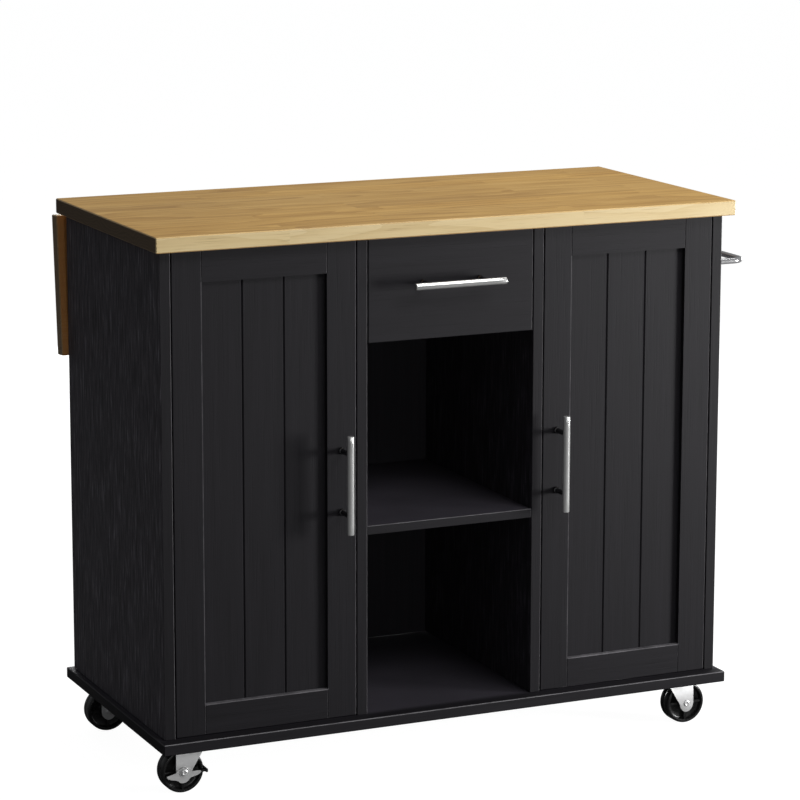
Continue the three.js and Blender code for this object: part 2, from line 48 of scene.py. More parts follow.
# ------------------------------------------------------------------ small node helpers
class Tree:
    def __init__(self, name):
        self.m = bpy.data.materials.new(name)
        self.m.use_nodes = True
        self.t = self.m.node_tree
        self.t.nodes.clear()
        self.out = self.t.nodes.new("ShaderNodeOutputMaterial")
        self.b = self.t.nodes.new("ShaderNodeBsdfPrincipled")
        self.link(self.b.outputs["BSDF"], self.out.inputs["Surface"])

    def link(self, a, b):
        self.t.links.new(a, b)

    def node(self, kind, **kw):
        n = self.t.nodes.new(kind)
        for k, v in kw.items():
            setattr(n, k, v)
        return n

    def put(self, socket, value):
        if hasattr(value, "is_output") or isinstance(value, bpy.types.NodeSocket):
            self.link(value, socket)
        else:
            socket.default_value = value

    def coords(self, kind="Object"):
        if not hasattr(self, "_tc"):
            self._tc = self.node("ShaderNodeTexCoord")
        return self._tc.outputs[kind]

    def mapping(self, vec, scale=(1, 1, 1), loc=(0, 0, 0), rot=(0, 0, 0)):
        n = self.node("ShaderNodeMapping")
        self.link(vec, n.inputs["Vector"])
        n.inputs["Scale"].default_value = scale
        n.inputs["Location"].default_value = loc
        n.inputs["Rotation"].default_value = rot
        return n.outputs["Vector"]

    def noise(self, vec, scale=1.0, detail=4.0, rough=0.5, distort=0.0):
        n = self.node("ShaderNodeTexNoise")
        self.link(vec, n.inputs["Vector"])
        n.inputs["Scale"].default_value = scale
        n.inputs["Detail"].default_value = detail
        n.inputs["Roughness"].default_value = rough
        n.inputs["Distortion"].default_value = distort
        return n.outputs["Fac"]

    def math(self, op, a, b=0.0, c=None, clamp=False):
        n = self.node("ShaderNodeMath", operation=op, use_clamp=clamp)
        self.put(n.inputs[0], a)
        self.put(n.inputs[1], b)
        if c is not None:
            self.put(n.inputs[2], c)
        return n.outputs[0]

    def ramp(self, fac, stops, interp="LINEAR"):
        n = self.node("ShaderNodeValToRGB")
        self.link(fac, n.inputs["Fac"])
        r = n.color_ramp
        r.interpolation = interp
        while len(r.elements) > 1:
            r.elements.remove(r.elements[-1])
        r.elements[0].position = stops[0][0]
        r.elements[0].color = col(stops[0][1])
        for p, c in stops[1:]:
            e = r.elements.new(p)
            e.color = col(c)
        return n.outputs["Color"]

    def mix(self, fac, a, b, blend="MIX"):
        n = self.node("ShaderNodeMix", data_type="RGBA", blend_type=blend)
        self.put(n.inputs[0], fac)
        self.put(n.inputs[6], a if not isinstance(a, tuple) else col(a))
        self.put(n.inputs[7], b if not isinstance(b, tuple) else col(b))
        return n.outputs[2]

    def range(self, v, a, b, c, d):
        n = self.node("ShaderNodeMapRange")
        self.put(n.inputs["Value"], v)
        for k, x in zip(("From Min", "From Max", "To Min", "To Max"), (a, b, c, d)):
            n.inputs[k].default_value = x
        return n.outputs["Result"]

    def bump(self, height, strength, dist, normal=None):
        n = self.node("ShaderNodeBump")
        self.link(height, n.inputs["Height"])
        n.inputs["Strength"].default_value = strength
        n.inputs["Distance"].default_value = dist
        if normal is not None:
            self.link(normal, n.inputs["Normal"])
        return n.outputs["Normal"]

    def sep(self, vec):
        n = self.node("ShaderNodeSeparateXYZ")
        self.link(vec, n.inputs[0])
        return n.outputs

    def comb(self, x, y, z):
        n = self.node("ShaderNodeCombineXYZ")
        for i, v in enumerate((x, y, z)):
            self.put(n.inputs[i], v)
        return n.outputs[0]

    def vadd(self, a, b):
        n = self.node("ShaderNodeVectorMath", operation="ADD")
        self.link(a, n.inputs[0])
        self.link(b, n.inputs[1])
        return n.outputs[0]


def col(c):
    if isinstance(c, (int, float)):
        return (c, c, c, 1.0)
    return (*c, 1.0) if len(c) == 3 else c


# ------------------------------------------------------------------ materials
AX = {"X": (0, 1, 2), "Y": (1, 0, 2), "Z": (2, 0, 1)}


def along(axis, a, b):
    """scale vector with a along the grain and b across it"""
    s = [b, b, b]
    s["XYZ".index(axis)] = a
    return tuple(s)


def oak(name, face_axis="Z", seed=0.0, shade_tint=0.0, sawn=1.0):
    """Honey oak, staves glued side by side along X. Faces across face_axis get the wide figure, long edges are paler,
    sawn ends are darker end grain, darkened further as painted shade for the unlit ends. shade_tint > 0 paints shade
    and bounce light: the side that looks down (or inwards on the hanging leaf) is tinted a browner, redder oak."""
    t = Tree(name)
    p = t.coords()
    k = "XYZ".index(face_axis)
    across = 1 if k == 2 else 2
    xyz = t.sep(p)
    u = xyz[0]
    v = xyz[across]
    w = xyz[k]
    flat = t.comb(u, v, 0.0)
    brick = t.node("ShaderNodeTexBrick", offset=0.37, offset_frequency=2, squash=1.0)
    t.link(t.mapping(flat, loc=(0.13 + seed, 0.011, 0)), brick.inputs["Vector"])
    brick.inputs["Color1"].default_value = (0, 0, 0, 1)
    brick.inputs["Color2"].default_value = (1, 1, 1, 1)
    brick.inputs["Mortar"].default_value = (0.5, 0.5, 0.5, 1)
    brick.inputs["Scale"].default_value = 1.0
    brick.inputs["Mortar Size"].default_value = 0.0003
    brick.inputs["Mortar Smooth"].default_value = 0.3
    brick.inputs["Bias"].default_value = 0.0
    brick.inputs["Brick Width"].default_value = 0.52
    brick.inputs["Row Height"].default_value = 0.0608
    rnd = t.sep(brick.outputs["Color"])[0]
    shift = t.comb(t.math("MULTIPLY", rnd, 2.3), t.math("MULTIPLY", rnd, 0.9), t.math("MULTIPLY", rnd, 0.7))
    q = t.vadd(t.comb(u, v, w), shift)
    # figure of the log: tilted rings stretched along the stave
    warp = t.noise(t.mapping(q, scale=(1.3, 7.5, 7.5)), 1.0, 3, 0.5, 0.3)
    x, y, z = t.sep(q)[:3]
    ring = t.math("ADD", t.math("MULTIPLY", y, 34.0), t.math("MULTIPLY", warp, 8.5))
    ring = t.math("ADD", ring, t.math("MULTIPLY", x, 0.9))
    ring = t.math("ADD", ring, t.math("MULTIPLY", z, 22.0))
    band = t.math("POWER", t.math("FRACT", ring), 1.8)
    fibre = t.noise(t.mapping(q, scale=(6, 290, 290)), 1.0, 5, 0.62)
    pore = t.noise(t.mapping(q, scale=(15, 700, 700)), 1.0, 2, 0.5)
    broad = t.noise(t.mapping(q, scale=(2.2, 11, 11)), 1.0, 4, 0.6, 0.4)
    figure = t.math("ADD", t.math("MULTIPLY", band, 0.20), t.math("MULTIPLY", fibre, 0.36))
    figure = t.math("ADD", figure, t.math("MULTIPLY", broad, 0.52))
    top = t.ramp(figure, [(0.34, (0.700, 0.430, 0.128)), (0.50, (0.570, 0.330, 0.086)), (0.66, (0.450, 0.242, 0.057)), (0.90, (0.345, 0.172, 0.038))])
    edge = t.ramp(figure, [(0.30, (0.735, 0.600, 0.365)), (0.55, (0.680, 0.535, 0.300)), (0.90, (0.540, 0.395, 0.195))])
    # sawn ends: close dark pores and growth arcs, dark as end grain is and darkened further as painted shade for the
    # unlit ends; sawn scales the end colour per piece
    arcs = t.math("FRACT", t.math("ADD", t.math("MULTIPLY", w, 210.0), t.math("MULTIPLY", t.noise(t.mapping(p, scale=(1, 9, 9)), 1.0, 2, 0.5), 16.0)))
    speck = t.noise(t.mapping(p, scale=(300, 900, 900)), 1.0, 3, 0.6)
    ends = t.ramp(t.math("ADD", t.math("MULTIPLY", arcs, 0.45), t.math("MULTIPLY", speck, 0.55)), [(0.30, (0.175 * sawn, 0.122 * sawn, 0.070 * sawn)), (0.80, (0.098 * sawn, 0.063 * sawn, 0.034 * sawn))])
    n = t.sep(t.coords("Normal"))
    face = t.range(t.math("ABSOLUTE", n[k]), 0.55, 0.85, 0.0, 1.0)
    end = t.range(t.math("ABSOLUTE", n[0]), 0.55, 0.85, 0.0, 1.0)
    c = t.mix(face, edge, top)
    tone = t.range(rnd, 0, 1, 0.955, 1.045)
    c = t.mix(1.0, c, t.comb(tone, t.math("MULTIPLY", tone, t.range(rnd, 0, 1, 1.01, 0.99)), t.math("MULTIPLY", tone, t.range(rnd, 0, 1, 1.05, 0.94))), "MULTIPLY")
    pores = t.range(pore, 0.60, 0.74, 0.0, 0.40)
    c = t.mix(pores, c, (0.20, 0.10, 0.03))
    seam = t.math("MULTIPLY", t.math("MULTIPLY", brick.outputs["Fac"], face), 0.40)
    c = t.mix(seam, c, (0.16, 0.085, 0.03))
    # painted shade and bounce light: the side that looks down, or inwards on the hanging leaf, is tinted a browner,
    # redder oak
    if shade_tint:
        shade_side = t.range(n[k], -0.85, -0.55, shade_tint, 0.0)
        c = t.mix(shade_side, c, (0.600, 0.252, 0.078))
    # faces across X take the end colour: real darker end grain, deepened as painted shade
    c = t.mix(end, c, ends)
    t.link(c, t.b.inputs["Base Color"])
    smudge = t.noise(t.mapping(p, scale=(3, 3, 3)), 1.0, 3, 0.6)
    t.link(t.range(t.math("ADD", t.math("MULTIPLY", smudge, 0.6), t.math("MULTIPLY", fibre, 0.4)), 0.25, 0.75, 0.24, 0.38), t.b.inputs["Roughness"])
    h = t.math("SUBTRACT", t.math("MULTIPLY", fibre, 0.5), t.math("MULTIPLY", pores, 1.4))
    h = t.math("SUBTRACT", h, t.math("MULTIPLY", seam, 1.2))
    t.link(t.bump(h, 0.14, 0.0006), t.b.inputs["Normal"])
    t.b.inputs["Specular IOR Level"].default_value = 0.30
    t.b.inputs["Coat Weight"].default_value = 0.06
    t.b.inputs["Coat Roughness"].default_value = 0.16
    return t.m


BLACK = (0.0104, 0.0095, 0.0118)


def stained(name, grain="Z", base=BLACK, pick=None, emboss=0.24, rough=(0.53, 0.60), spec=0.20, coarse=0.0, up_light=1.0, edge_highlight=1.0, flank_light=None, front=None):
    """Black stained board with pressed wood grain. pick, if given, is (x0, x1, z0, z1, z2, z3): grain runs along X
    between x0 and x1 where z is in z0..z1 or z2..z3 (the door's rails), and along Z elsewhere; pick also places painted
    highlight lines on the top of the bottom rail and the inner edge of the left stile. flank_light is the colour of
    faces across X, lighter than the board as painted sheen and light; up_light lightens faces that look upward behind
    the plane y = front as painted light; edge_highlight paints a highlight on the eased edges, strongest on those
    facing up and right."""
    t = Tree(name)
    p = t.coords()

    def field(axis):
        wide = t.noise(t.mapping(p, scale=along(axis, 1.8, 42)), 1.0, 4, 0.6, 0.25)
        x = t.vadd(t.mapping(p, scale=along(axis, 5.5, 210)), t.comb(t.math("MULTIPLY", wide, 2.2), t.math("MULTIPLY", wide, 2.2), t.math("MULTIPLY", wide, 2.2)))
        fine = t.noise(x, 1.0, 5, 0.60)
        dash = t.noise(t.mapping(p, scale=along(axis, 13, 520)), 1.0, 2, 0.5)
        return wide, fine, dash

    wide, fine, dash = field(grain)
    if pick:
        w2, f2, d2 = field("X")
        x, y, z = t.sep(p)[:3]

        def inside(v, a, b):
            return t.math("MULTIPLY", t.math("GREATER_THAN", v, a), t.math("LESS_THAN", v, b))

        rails = t.math("MAXIMUM", inside(z, pick[2], pick[3]), inside(z, pick[4], pick[5]))
        m = t.math("MULTIPLY", inside(x, pick[0], pick[1]), rails)
        out = []
        for a, b in ((wide, w2), (fine, f2), (dash, d2)):
            out.append(t.math("ADD", t.math("MULTIPLY", a, t.math("SUBTRACT", 1.0, m)), t.math("MULTIPLY", b, m)))
        wide, fine, dash = out
    ticks = t.range(dash, 0.56, 0.70, 0.0, 1.0)
    g = t.math("ADD", t.math("MULTIPLY", fine, 0.65), t.math("MULTIPLY", wide, 0.35))
    nv = t.sep(t.coords("Normal"))
    an = [t.math("ABSOLUTE", nv[i]) for i in range(3)]
    c = t.ramp(g, [(0.33, tuple(v * 0.82 for v in base)), (0.5, base), (0.68, tuple(v * 1.22 for v in base))])
    c = t.mix(t.math("MULTIPLY", ticks, 0.35), c, tuple(v * 0.55 for v in base))
    if flank_light:
        # painted sheen and light: faces across X take the flank colour, lighter than the board, with bright flecks up
        # to 2.9 times it
        deepc = t.noise(t.mapping(p, scale=along(grain, 17, 240)), 1.0, 4, 0.66, 0.25)
        flank_sheen = t.ramp(deepc, [(0.38, tuple(v * 0.55 for v in flank_light)), (0.5, tuple(v * 0.92 for v in flank_light)), (0.60, tuple(v * 1.5 for v in flank_light)), (0.66, tuple(v * 2.9 for v in flank_light))])
        c = t.mix(t.range(an[0], 0.6, 0.9, 0.0, 1.0), c, flank_sheen)
    if up_light != 1.0:
        # painted light: faces that look upward, behind the plane y = front where it is given, are lightened several
        # times over, mottled by noise
        top = t.range(nv[2], 0.75, 0.9, 0.0, 1.0)
        if front is not None:
            top = t.math("MULTIPLY", top, t.range(t.sep(p)[1], front - 0.004, front + 0.012, 0.0, 1.0))
        up_mottle = t.noise(t.mapping(p, scale=(7, 7, 7)), 1.0, 4, 0.6)
        c = t.mix(t.math("MULTIPLY", top, t.range(up_mottle, 0.3, 0.7, 0.75, 1.0)), c, tuple(v * up_light for v in base))
    # painted highlight: eased edges are lightened to a pale grey, in patches
    if edge_highlight:
        big = t.math("MAXIMUM", t.math("MAXIMUM", an[0], an[1]), an[2])
        edge_patches = t.noise(t.mapping(p, scale=(45, 45, 45)), 1.0, 4, 0.6)
        e = t.math("MULTIPLY", t.range(big, 0.82, 0.96, 1.0, 0.0), t.range(edge_patches, 0.35, 0.65, 0.55, 1.0))
        # painted highlight: the arrises facing up and to the right, towards the key lamp, are lightened most
        e = t.math("MULTIPLY", e, t.range(t.math("ADD", nv[0], nv[2]), -0.15, 0.45, 0.0, 1.0))
        c = t.mix(t.math("MULTIPLY", e, edge_highlight), c, (0.160, 0.155, 0.163))
    if pick:
        # painted highlight lines: the top of the bottom rail, and the inner edge of the left stile, broken by noise
        line_breakup = t.range(t.noise(t.mapping(p, scale=(30, 30, 30)), 1.0, 3, 0.6), 0.35, 0.62, 0.45, 1.0)
        sill_highlight = t.math("MULTIPLY", inside(z, pick[3] - 0.0017, pick[3] + 0.001), inside(x, pick[0] - 0.001, pick[1] + 0.001))
        jamb_highlight = t.math("MULTIPLY", inside(x, pick[0] - 0.0014, pick[0] + 0.001), inside(z, pick[3], pick[4]))
        c = t.mix(t.math("MULTIPLY", sill_highlight, line_breakup), c, (0.150, 0.144, 0.154))
        c = t.mix(t.math("MULTIPLY", jamb_highlight, line_breakup), c, (0.085, 0.082, 0.088))
    t.link(c, t.b.inputs["Base Color"])
    smudge = t.noise(t.mapping(p, scale=(5, 5, 5)), 1.0, 3, 0.55)
    t.link(t.range(t.math("ADD", t.math("MULTIPLY", smudge, 0.5), t.math("MULTIPLY", fine, 0.5)), 0.3, 0.7, rough[0], rough[1]), t.b.inputs["Roughness"])
    h = t.math("SUBTRACT", fine, t.math("MULTIPLY", ticks, 0.55))
    nrm = t.bump(h, emboss, 0.0005)
    if coarse:
        # deeper pressed ticks, long and a few millimetres apart
        deep = t.noise(t.mapping(p, scale=along(grain, 17, 240)), 1.0, 4, 0.66, 0.25)
        area = t.noise(t.mapping(p, scale=along(grain, 4, 14)), 1.0, 2, 0.5)
        cut = t.math("MULTIPLY", t.range(deep, 0.50, 0.64, 0.0, 1.0), t.range(area, 0.36, 0.60, 0.35, 1.0))
        cut = t.math("MULTIPLY", cut, t.range(an[0], 0.6, 0.9, 0.0, 1.0))
        nrm = t.bump(cut, coarse, 0.0011, nrm)
    t.link(nrm, t.b.inputs["Normal"])
    t.b.inputs["Specular IOR Level"].default_value = spec
    return t.m


def metal(name, base, rough, brush=None, spangle=0.0, grime=0.0, metallic=1.0):
    """Bare metal. brush is the axis the fine brush lines run along; spangle is the size of zinc crystals in metres."""
    t = Tree(name)
    p = t.coords()
    b = t.b
    b.inputs["Metallic"].default_value = metallic
    blotch = t.noise(t.mapping(p, scale=(60, 60, 60)), 1.0, 4, 0.55)
    if brush:
        line = t.noise(t.mapping(p, scale=along(brush, 30, 2600)), 1.0, 3, 0.6)
    else:
        line = t.noise(t.mapping(p, scale=(900, 900, 900)), 1.0, 3, 0.6)
    c = t.ramp(blotch, [(0.3, tuple(v * 0.93 for v in base)), (0.7, base)])
    if spangle:
        v = t.node("ShaderNodeTexVoronoi", feature="F1")
        t.link(p, v.inputs["Vector"])
        v.inputs["Scale"].default_value = 1.0 / spangle
        cell = t.sep(v.outputs["Color"])[0]
        c = t.mix(t.math("MULTIPLY", cell, 0.22), c, tuple(x * 0.72 for x in base))
    if grime:
        dirt = t.noise(t.mapping(p, scale=(140, 140, 140)), 1.0, 5, 0.65)
        c = t.mix(t.range(dirt, 0.55, 0.75, 0.0, grime), c, (0.12, 0.11, 0.10))
    t.link(c, b.inputs["Base Color"])
    t.link(t.range(t.math("ADD", t.math("MULTIPLY", line, 0.6), t.math("MULTIPLY", blotch, 0.4)), 0.3, 0.7, rough[0], rough[1]), b.inputs["Roughness"])
    t.link(t.bump(line, 0.05, 0.0002), b.inputs["Normal"])
    return t.m


def plastic(name, base=(0.0085, 0.0085, 0.0090), rough=(0.20, 0.36), tread=False):
    """Moulded black plastic; faint moulding skin, dust and scuffs."""
    t = Tree(name)
    p = t.coords()
    skin = t.noise(t.mapping(p, scale=(1400, 1400, 1400)), 1.0, 2, 0.5)
    scuff = t.noise(t.mapping(p, scale=(85, 85, 85)), 1.0, 6, 0.7)
    dust = t.noise(t.mapping(p, scale=(30, 30, 30)), 1.0, 4, 0.6)
    c = t.mix(t.range(dust, 0.45, 0.75, 0.0, 0.25), base, (0.035, 0.034, 0.033))
    c = t.mix(t.range(scuff, 0.62, 0.72, 0.0, 0.35), c, (0.05, 0.048, 0.046))
    t.link(c, t.b.inputs["Base Color"])
    t.link(t.range(t.math("ADD", t.math("MULTIPLY", scuff, 0.6), t.math("MULTIPLY", dust, 0.4)), 0.3, 0.7, rough[0], rough[1]), t.b.inputs["Roughness"])
    t.link(t.bump(t.math("ADD", t.math("MULTIPLY", skin, 0.4), scuff), 0.08, 0.0003), t.b.inputs["Normal"])
    return t.m


def ply(name, grain="Y", base=(0.62, 0.47, 0.29)):
    """Plain lacquered drawer board."""
    t = Tree(name)
    p = t.coords()
    warp = t.noise(t.mapping(p, scale=along(grain, 1.8, 13)), 1.0, 3, 0.5, 0.4)
    fine = t.noise(t.mapping(p, scale=along(grain, 9, 320)), 1.0, 5, 0.6)
    g = t.math("ADD", t.math("MULTIPLY", warp, 0.55), t.math("MULTIPLY", fine, 0.45))
    t.link(t.ramp(g, [(0.32, tuple(v * 0.80 for v in base)), (0.5, base), (0.7, tuple(min(1, v * 1.13) for v in base))]), t.b.inputs["Base Color"])
    t.link(t.range(fine, 0.3, 0.7, 0.42, 0.58), t.b.inputs["Roughness"])
    t.link(t.bump(fine, 0.12, 0.0004), t.b.inputs["Normal"])
    return t.m


# both oaks tint their down- or inward-looking side as painted shade and bounce light, 0.5 on the top and 0.85 on the
# leaf; the leaf's end colour is scaled 1.9 times
M_OAK = oak("oak_top", "Z", 0.0, 0.5)
M_LEAF = oak("oak_leaf", "Y", 0.31, 0.85, 1.9)
M_V = stained("black_vertical", "Z")
M_PANEL = stained("black_panel", "Z", edge_highlight=0.0)
# painted sheen: the left side's faces across X get a much lighter, flecked colour than the right side's
M_SIDE_L = stained("black_side_left", "Z", base=(0.0094, 0.0086, 0.0106), coarse=0.75, flank_light=(0.0790, 0.0730, 0.0840))
M_SIDE_R = stained("black_side_right", "Z", base=(0.0094, 0.0086, 0.0106), coarse=0.75, flank_light=(0.0118, 0.0108, 0.0132))
M_X = stained("black_horizontal", "X")
# painted light: the shelf's upward faces are 5.2 times lighter than the board
M_SHELF = stained("black_shelf", "X", up_light=5.2)
# painted light: the back panel is lighter than the other black boards to stand in for light in the bay
M_BACK = stained("black_back", "Z", base=(0.0185, 0.0168, 0.0208))
# painted light: the partitions' faces across X are lightened to stand in for light in the bay
M_PART = stained("black_partition", "Z", flank_light=(0.0250, 0.0228, 0.0280))
# painted light: the base's upward faces inside the bay are 4.3 times lighter than the board
M_BASE = stained("black_base", "X", up_light=4.3, front=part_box("left_partition")[0][1])
M_IN = stained("black_inside", "X", base=(0.0120, 0.0113, 0.0130), emboss=0.3)
M_PLY = ply("drawer_board")
M_PLYX = ply("drawer_board_cross", "X", (0.60, 0.45, 0.275))
M_BARX = metal("brushed_nickel_x", (0.80, 0.80, 0.79), (0.17, 0.27), "X", 0.0, 0.0, 0.82)
M_BARZ = metal("brushed_nickel_z", (0.86, 0.86, 0.85), (0.12, 0.21), "Z", 0.0, 0.0, 0.70)
# painted reflection: the posts' nickel is darkened to a dark grey to stand in for the dark surroundings they mirror
M_POST = metal("brushed_nickel_post", (0.20, 0.20, 0.205), (0.16, 0.26), "Y")
M_CHROME = metal("chrome_rail", (0.80, 0.80, 0.81), (0.12, 0.19), None, 0.0, 0.0, 0.86)
M_ZINC = metal("zinc_plate", (0.62, 0.63, 0.64), (0.36, 0.48), None, 0.0045, 0.10, 0.72)
# the fork's zinc is paler and less metallic than the plate's: zinc colour, brightened as a painted reflection of the
# pale floor
M_ZINC2 = metal("zinc_fork", (0.88, 0.88, 0.88), (0.34, 0.46), None, 0.0060, 0.06, 0.62)
M_SLIDE = metal("zinc_runner", (0.76, 0.77, 0.78), (0.22, 0.34), "Y", 0.0, 0.06)
M_SCREW = metal("screw_steel", (0.60, 0.60, 0.60), (0.28, 0.40), None, 0.0, 0.25)
M_BLACKSCREW = metal("black_screw", (0.07, 0.07, 0.075), (0.30, 0.45), None, 0.0, 0.0)
M_WHEEL = plastic("wheel_plastic")
M_TAB = plastic("lever_pad", (0.010, 0.010, 0.011), (0.35, 0.5))


def paint(node, material, bevel=0.0, seg=2):
    o = NODES[node]
    if not o.data.materials:
        o.data.materials.append(material)
    for i in range(len(o.data.materials)):
        o.data.materials[i] = material
    for s in o.material_slots:
        s.material = material
    if bevel:
        o.modifiers.new("weld", "WELD").merge_threshold = 0.00002
        b = o.modifiers.new("ease", "BEVEL")
        b.width = bevel
        b.segments = seg
        b.limit_method = "ANGLE"
        b.angle_limit = math.radians(60)
        b.harden_normals = False
    return o


# ------------------------------------------------------------------ mesh helpers
def finish_mesh(name, bm, mats, smooth=True, angle=34.0):
    me = bpy.data.meshes.new(name)
    bmesh.ops.recalc_face_normals(bm, faces=bm.faces)
    bm.to_mesh(me)
    bm.free()
    for m in mats:
        me.materials.append(m)
    if smooth:
        me.polygons.foreach_set("use_smooth", [True] * len(me.polygons))
        me.set_sharp_from_angle(angle=math.radians(angle))
    o = bpy.data.objects.new(name, me)
    bpy.context.scene.collection.objects.link(o)
    return o


def ring_points(r, n, phase=0.0):
    return [(r * math.cos(phase + 2 * math.pi * i / n), r * math.sin(phase + 2 * math.pi * i / n)) for i in range(n)]


def basis(axis):
    """columns u, v, w with w along axis"""
    w = Vector(axis).normalized()
    a = Vector((0, 0, 1)) if abs(w.z) < 0.9 else Vector((1, 0, 0))
    u = a.cross(w).normalized()
    v = w.cross(u)
    return u, v, w


def add_lathe(bm, profile, centre, axis, n=64, mat=0, close=False):
    """profile of (radius, height) in metres along axis from centre; radius 0 closes to a point"""
    u, v, w = basis(axis)
    c = Vector(centre)
    rings = []
    for r, h in profile:
        if r < 1e-7:
            rings.append([bm.verts.new(c + w * h)])
        else:
            rings.append([bm.verts.new(c + w * h + u * x + v * y) for x, y in ring_points(r, n)])
    pairs = list(zip(rings, rings[1:]))
    if close:
        pairs.append((rings[-1], rings[0]))
    for a, b in pairs:
        for i in range(n):
            j = (i + 1) % n
            if len(a) == 1 and len(b) == 1:
                continue
            if len(a) == 1:
                f = bm.faces.new((a[0], b[i], b[j]))
            elif len(b) == 1:
                f = bm.faces.new((a[i], b[0], a[j]))
            else:
                f = bm.faces.new((a[i], b[i], b[j], a[j]))
            f.material_index = mat
    return rings


def arc(cx, cy, r, a0, a1, n):
    return [(cx + r * math.cos(math.radians(a0 + (a1 - a0) * i / n)), cy + r * math.sin(math.radians(a0 + (a1 - a0) * i / n))) for i in range(n + 1)]


def add_tube(bm, path, r, n=24, mat=0, cap=True):
    """tube of radius r along a list of points, with caps"""
    pts = [Vector(p) for p in path]
    tang = []
    for i, p in enumerate(pts):
        a = pts[max(0, i - 1)]
        b = pts[min(len(pts) - 1, i + 1)]
        tang.append((b - a).normalized())
    u, v, _ = basis(tang[0])
    rings = []
    for p, t in zip(pts, tang):
        u = (u - t * u.dot(t)).normalized()
        v = t.cross(u)
        rings.append([bm.verts.new(p + u * (r * math.cos(2 * math.pi * k / n)) + v * (r * math.sin(2 * math.pi * k / n))) for k in range(n)])
    for a, b in zip(rings, rings[1:]):
        for k in range(n):
            f = bm.faces.new((a[k], a[(k + 1) % n], b[(k + 1) % n], b[k]))
            f.material_index = mat
    if cap:
        for rg, rev in ((rings[0], True), (rings[-1], False)):
            f = bm.faces.new(rg[::-1] if rev else rg)
            f.material_index = mat
    return rings


def add_box(bm, lo, hi, bevel=0.0, seg=2, mat=0):
    """box with rounded edges"""
    c = [(a + b) / 2 for a, b in zip(lo, hi)]
    s = [abs(b - a) for a, b in zip(lo, hi)]
    r = bmesh.ops.create_cube(bm, size=1.0, matrix=Matrix.Translation(c) @ Matrix.Diagonal((*s, 1)))
    faces = set()
    for v in r["verts"]:
        faces.update(v.link_faces)
    for f in faces:
        f.material_index = mat
    if bevel:
        edges = {e for v in r["verts"] for e in v.link_edges}
        res = bmesh.ops.bevel(bm, geom=list(edges), offset=bevel, segments=seg, profile=0.5, affect="EDGES", clamp_overlap=True)
        for f in res["faces"]:
            f.material_index = mat


def add_outline(bm, pts, to3d, t0, t1, bevel=0.0, seg=2, mat=0):
    """flat plate: 2-D outline pts, to3d(a, b, t) -> point, between t0 and t1, with rounded rims"""
    lo = [bm.verts.new(to3d(a, b, t0)) for a, b in pts]
    hi = [bm.verts.new(to3d(a, b, t1)) for a, b in pts]
    n = len(pts)
    caps = [bm.faces.new(lo[::-1]), bm.faces.new(hi)]
    sides = [bm.faces.new((lo[i], lo[(i + 1) % n], hi[(i + 1) % n], hi[i])) for i in range(n)]
    for f in caps + sides:
        f.material_index = mat
    if bevel:
        edges = [e for f in caps for e in f.edges]
        res = bmesh.ops.bevel(bm, geom=edges, offset=bevel, segments=seg, profile=0.5, affect="EDGES", clamp_overlap=True)
        for f in res["faces"]:
            f.material_index = mat


def centre_of(node):
    lo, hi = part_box(node)
    return Vector([(a + b) / 2 for a, b in zip(lo, hi)])


def screw(bm, at, axis, r=0.0036, h=0.0014, mat=0):
    """closed domed screw head with a cross recess, standing on the surface at `at` and facing axis"""
    u, v, w = basis(axis)
    at = Vector(at)
    n = 32
    rings = []
    for k in (0.0, 0.15, 0.26, 0.40, 0.54, 0.62, 0.78, 0.90, 0.975, 1.0):
        if k == 0.0:
            rings.append([bm.verts.new(at + w * (h * 0.30))])
            continue
        ring = []
        for i in range(n):
            a = 2 * math.pi * (i + 0.5) / n
            x, y = k * math.cos(a), k * math.sin(a)
            z = math.sqrt(max(0.0, 1.0 - 0.94 * k * k)) if k < 1.0 else 0.0
            if min(abs(x), abs(y)) < 0.125 and k < 0.58:
                z = 0.30 if k < 0.50 else z * 0.62
            ring.append(bm.verts.new(at + u * (r * x) + v * (r * y) + w * (h * z)))
        rings.append(ring)
    base = bm.verts.new(at - w * 0.0002)
    for a, b in zip(rings, rings[1:]):
        for i in range(n):
            j = (i + 1) % n
            f = bm.faces.new((a[0], b[i], b[j])) if len(a) == 1 else bm.faces.new((a[i], b[i], b[j], a[j]))
            f.material_index = mat
    for i in range(n):
        f = bm.faces.new((rings[-1][i], base, rings[-1][(i + 1) % n]))
        f.material_index = mat


# ------------------------------------------------------------------ boards that keep their CAD shape
paint("tabletop", M_OAK)
paint("drop_leaf", M_LEAF)
paint("base_board", M_BASE)
for s in ("left", "right"):
    paint(f"{s}_side_panel", M_SIDE_L if s == "left" else M_SIDE_R)
    paint(f"{s}_partition", M_PART)
    paint(f"{s}_cabinet_shelf", M_IN)
    paint(f"{s}_door_panel", M_PANEL)
    lo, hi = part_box(f"{s}_door_frame")
    rail = 0.050
    paint(f"{s}_door_frame", stained(f"black_{s}_door", "Z", pick=(lo[0] + rail, hi[0] - rail, lo[2] - 1, lo[2] + rail, hi[2] - rail, hi[2] + 1)), 0.0012)
    paint(f"drawer_side_{s}", M_PLY)
    paint(f"drawer_runner_{s}", M_SLIDE)
    paint(f"drawer_slide_{s}", M_SLIDE)
    for w in ("lower", "upper"):
        paint(f"{s}_hinge_cup_{w}", M_ZINC)
        paint(f"{s}_hinge_arm_{w}", M_ZINC)
    paint(f"leaf_hinge_fixed_{s}", M_ZINC)
    paint(f"leaf_hinge_moving_{s}", M_ZINC)
    paint(f"stay_bracket_{s}", M_ZINC)
    paint(f"stay_lower_{s}", M_ZINC)
    paint(f"stay_upper_{s}", M_ZINC)
paint("back_panel", M_BACK)
paint("middle_shelf", M_SHELF)
paint("drawer_front", M_X)
paint("drawer_back", M_PLYX)
paint("drawer_bottom", M_PLY)


